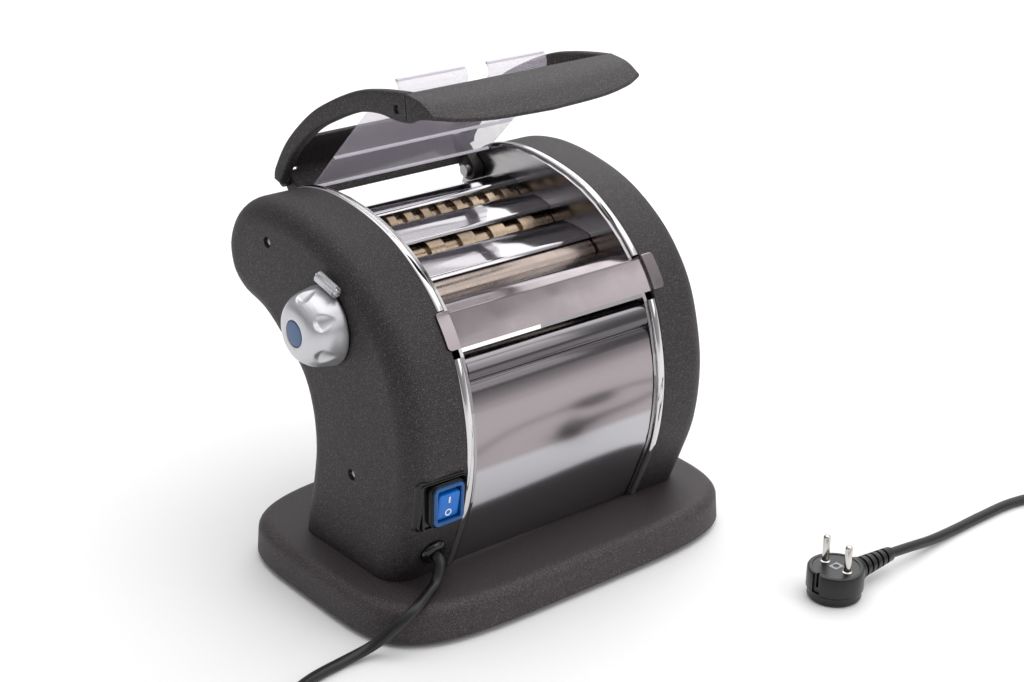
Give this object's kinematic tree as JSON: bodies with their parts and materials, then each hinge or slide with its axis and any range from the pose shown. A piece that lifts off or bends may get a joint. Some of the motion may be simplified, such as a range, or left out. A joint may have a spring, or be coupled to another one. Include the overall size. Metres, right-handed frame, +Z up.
{
  "type": "electric pasta maker",
  "caption": "Motor-driven pasta maker: smooth rollers with a thickness knob, two cutter pairs, guide bars, a tilting lid with a clear guard, a rocker switch and a mains cord.",
  "frame": {"origin": "centre of the machine's footprint box, on the surface that it stands on; the cord and plug aren't counted", "axes": "+X along the rollers, away from the thickness knob; +Y from the front with the feed plate to the rear; +Z up"},
  "size_m": [0.6049, 0.4991, 0.3349],
  "materials": {
    "anthracite": "fine textured anthracite plastic",
    "chrome": "mirror chrome on bent steel sheet",
    "steel": "polished and turned steel",
    "bronze": "treated steel with a warm tint",
    "satin": "satin silver coating",
    "black": "black plastic",
    "motor": "black painted motor case",
    "blue": "saturated blue plastic",
    "clear": "clear plastic, faintly mauve",
    "nylon": "natural nylon",
    "foot_rubber": "black rubber",
    "cord": "satin black cord sheath"
  },
  "bodies": {
    "housing": {"base_plate": "anthracite", "base_bottom_cover": "black", "rubber_foot_front_left": "foot_rubber", "rubber_foot_front_right": "foot_rubber", "rubber_foot_rear_left": "foot_rubber", "rubber_foot_rear_right": "foot_rubber", "left_end_cap": "anthracite", "right_end_cap": "anthracite", "left_side_plate": "steel", "right_side_plate": "steel", "left_lower_trim": "chrome", "left_upper_trim": "chrome", "right_lower_trim": "chrome", "right_upper_trim": "chrome", "rear_guide_bar": "chrome", "middle_guide_bar": "chrome", "front_guide_bar": "chrome", "feed_plate": "chrome", "front_cover": "chrome", "rear_cover": "anthracite", "outlet_chute": "steel", "lower_tie_rod_front": "steel", "lower_tie_rod_rear": "steel", "gear_motor": "motor", "knob_index_block": "anthracite", "switch_housing": "black", "switch_cover": "blue", "cord_grommet": "black", "hinge_pin_left": "steel", "hinge_pin_right": "steel", "cord_lead": "cord", "cord_coil": "cord", "cord_tail": "cord", "mains_plug": "black"},
    "fixed_roller": {"fixed_smooth_roller": "steel", "fixed_smooth_gear": "steel"},
    "roller_carrier": {"roller_shaft": "steel"},
    "adjustable_roller": {"adjustable_smooth_roller": "steel", "adjustable_smooth_gear": "steel"},
    "regulator": {"regulator_shaft": "steel"},
    "knob": {"regulator_knob": "satin", "knob_insert": "blue"},
    "front_idler": {"front_idler_gear": "nylon"},
    "wide_upper": {"wide_cutter_upper": "bronze", "wide_cutter_upper_gear": "steel"},
    "wide_lower": {"wide_cutter_lower": "bronze", "wide_cutter_lower_gear": "steel"},
    "rear_idler": {"rear_idler_gear": "nylon"},
    "fine_upper": {"fine_cutter_upper": "bronze", "fine_cutter_upper_gear": "steel"},
    "fine_lower": {"fine_cutter_lower": "bronze", "fine_cutter_lower_gear": "steel"},
    "reduction": {"reduction_gear": "nylon"},
    "motor_shaft": {"motor_shaft_pinion": "steel"},
    "rocker": {"switch_rocker": "blue"},
    "lid": {"lid_arm_left": "anthracite", "lid_arm_right": "anthracite", "lid_visor": "anthracite", "lid_rear_panel": "anthracite", "lid_window": "clear"}
  },
  "joints": [
    {"name": "fixed_roller_spin", "type": "hinge", "parent": "housing", "child": "fixed_roller", "pos_m": [0, -0.02397, 0.19414], "axis": [1, 0, 0], "continuous": true},
    {"name": "thickness_slide", "type": "slide", "parent": "housing", "child": "roller_carrier", "axis": [0, -0.7071, -0.7071], "range_m": [0, 0.0019]},
    {"name": "adjustable_roller_spin", "type": "hinge", "parent": "roller_carrier", "child": "adjustable_roller", "pos_m": [0, -0.04076, 0.17736], "axis": [1, 0, 0], "continuous": true},
    {"name": "regulator_turn", "type": "hinge", "parent": "housing", "child": "regulator", "pos_m": [0, -0.00844, 0.18823], "axis": [1, 0, 0], "range_deg": [0, 150]},
    {"name": "knob_pull", "type": "slide", "parent": "regulator", "child": "knob", "axis": [-1, 0, 0], "range_m": [0, 0.005], "stiffness_N_per_m": 400, "springref_m": -0.003},
    {"name": "front_idler_spin", "type": "hinge", "parent": "housing", "child": "front_idler", "pos_m": [0, -0.0044, 0.20865], "axis": [1, 0, 0], "continuous": true},
    {"name": "wide_upper_spin", "type": "hinge", "parent": "housing", "child": "wide_upper", "pos_m": [0, 0.01773, 0.20462], "axis": [1, 0, 0], "continuous": true},
    {"name": "wide_lower_spin", "type": "hinge", "parent": "housing", "child": "wide_lower", "pos_m": [0, 0.00359, 0.19048], "axis": [1, 0, 0], "continuous": true},
    {"name": "rear_idler_spin", "type": "hinge", "parent": "housing", "child": "rear_idler", "pos_m": [0, 0.03357, 0.21877], "axis": [1, 0, 0], "continuous": true},
    {"name": "fine_upper_spin", "type": "hinge", "parent": "housing", "child": "fine_upper", "pos_m": [0, 0.05415, 0.21353], "axis": [1, 0, 0], "continuous": true},
    {"name": "fine_lower_spin", "type": "hinge", "parent": "housing", "child": "fine_lower", "pos_m": [0, 0.04002, 0.19939], "axis": [1, 0, 0], "continuous": true},
    {"name": "reduction_spin", "type": "hinge", "parent": "housing", "child": "reduction", "pos_m": [0, -0.01189, 0.16738], "axis": [1, 0, 0], "continuous": true},
    {"name": "motor_shaft_spin", "type": "hinge", "parent": "housing", "child": "motor_shaft", "pos_m": [0, -0.03092, 0.11365], "axis": [1, 0, 0], "continuous": true},
    {"name": "rocker_press", "type": "hinge", "parent": "housing", "child": "rocker", "pos_m": [0, -0.08784, 0.089], "axis": [-1, 0, 0], "range_deg": [0, 14]},
    {"name": "lid_hinge", "type": "hinge", "parent": "housing", "child": "lid", "pos_m": [0, 0.09716, 0.226], "axis": [1, 0, 0], "range_deg": [0, 38]}
  ],
  "couplings": [
    {"joint": "adjustable_roller_spin", "follows": "fixed_roller_spin", "ratio": -1},
    {"joint": "front_idler_spin", "follows": "fixed_roller_spin", "ratio": -0.95},
    {"joint": "wide_upper_spin", "follows": "fixed_roller_spin", "ratio": 1.1875},
    {"joint": "wide_lower_spin", "follows": "fixed_roller_spin", "ratio": -1.1875},
    {"joint": "rear_idler_spin", "follows": "fixed_roller_spin", "ratio": -1.0556},
    {"joint": "fine_upper_spin", "follows": "fixed_roller_spin", "ratio": 1.1875},
    {"joint": "fine_lower_spin", "follows": "fixed_roller_spin", "ratio": -1.1875},
    {"joint": "reduction_spin", "follows": "fixed_roller_spin", "ratio": -0.67857},
    {"joint": "motor_shaft_spin", "follows": "fixed_roller_spin", "ratio": 2.5446},
    {"joint": "thickness_slide", "follows": "regulator_turn", "m_per_rad": 0.00072574}
  ]
}
